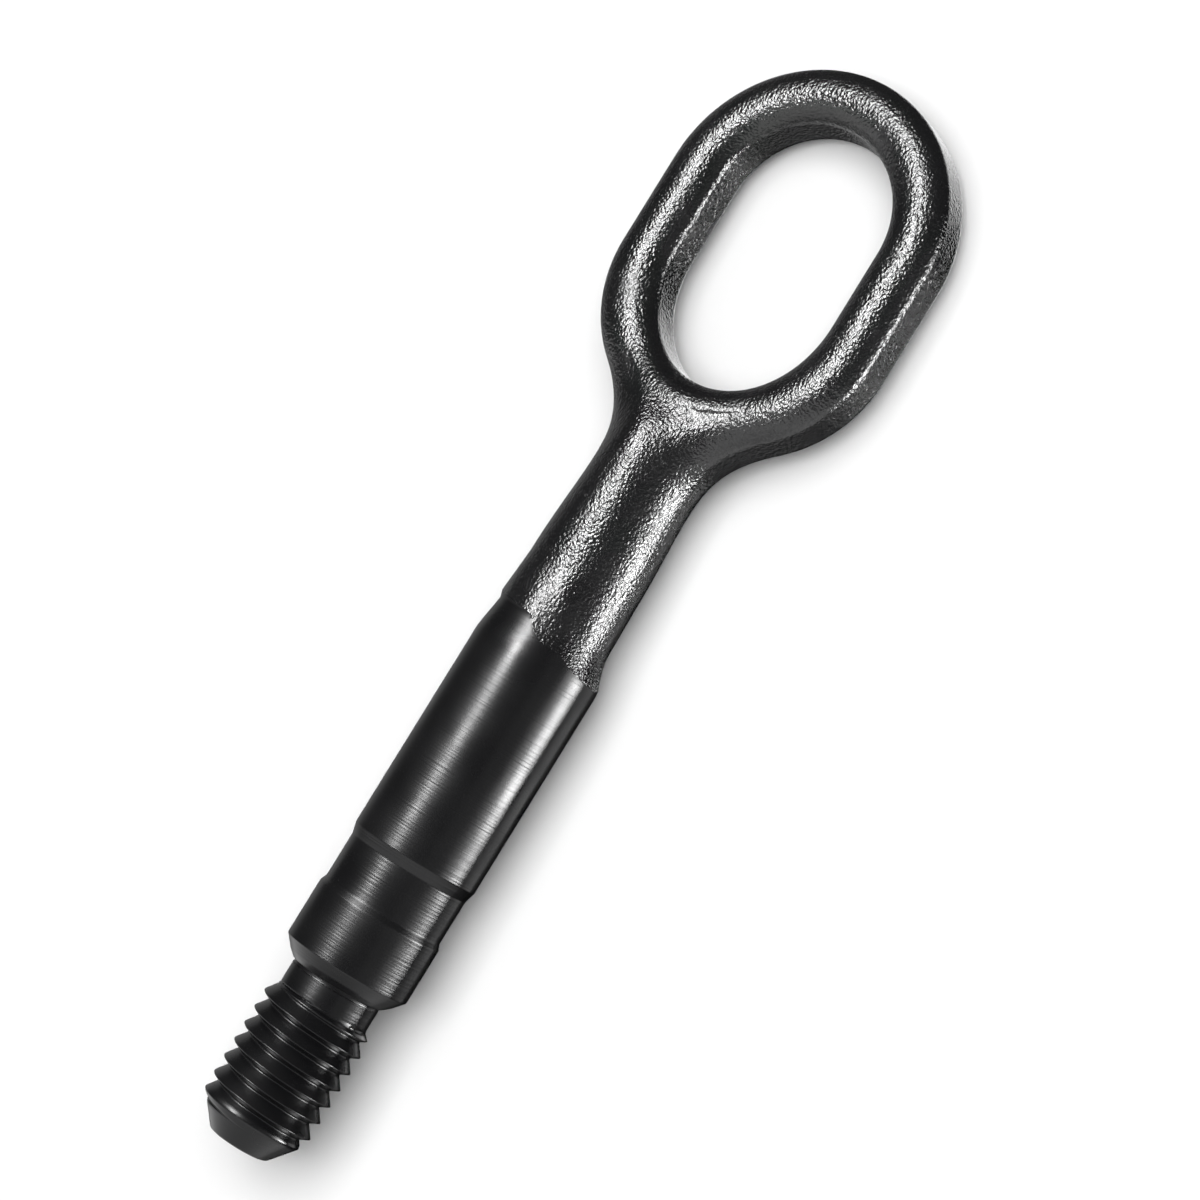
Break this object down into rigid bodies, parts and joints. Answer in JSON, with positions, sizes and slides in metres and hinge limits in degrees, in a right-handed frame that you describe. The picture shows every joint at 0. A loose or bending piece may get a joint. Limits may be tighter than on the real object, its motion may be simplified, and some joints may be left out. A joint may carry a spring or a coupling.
{
  "type": "tow eye",
  "caption": "Screw-in tow eye: forged oval loop on a tapering shank, with a turned shaft, collar, conical seat and left-hand threaded end.",
  "frame": {"origin": "on the shaft's axis, in the plane where the collar meets its conical seat", "axes": "+X along the shaft from the threaded tip to the eye, +Z square to the flat of the eye"},
  "size_m": [0.2086, 0.0544, 0.0234],
  "materials": {
    "tow_eye": "black satin coat over forged and turned steel"
  },
  "bodies": {
    "root": {"tow_eye": "tow_eye"}
  },
  "joints": []
}
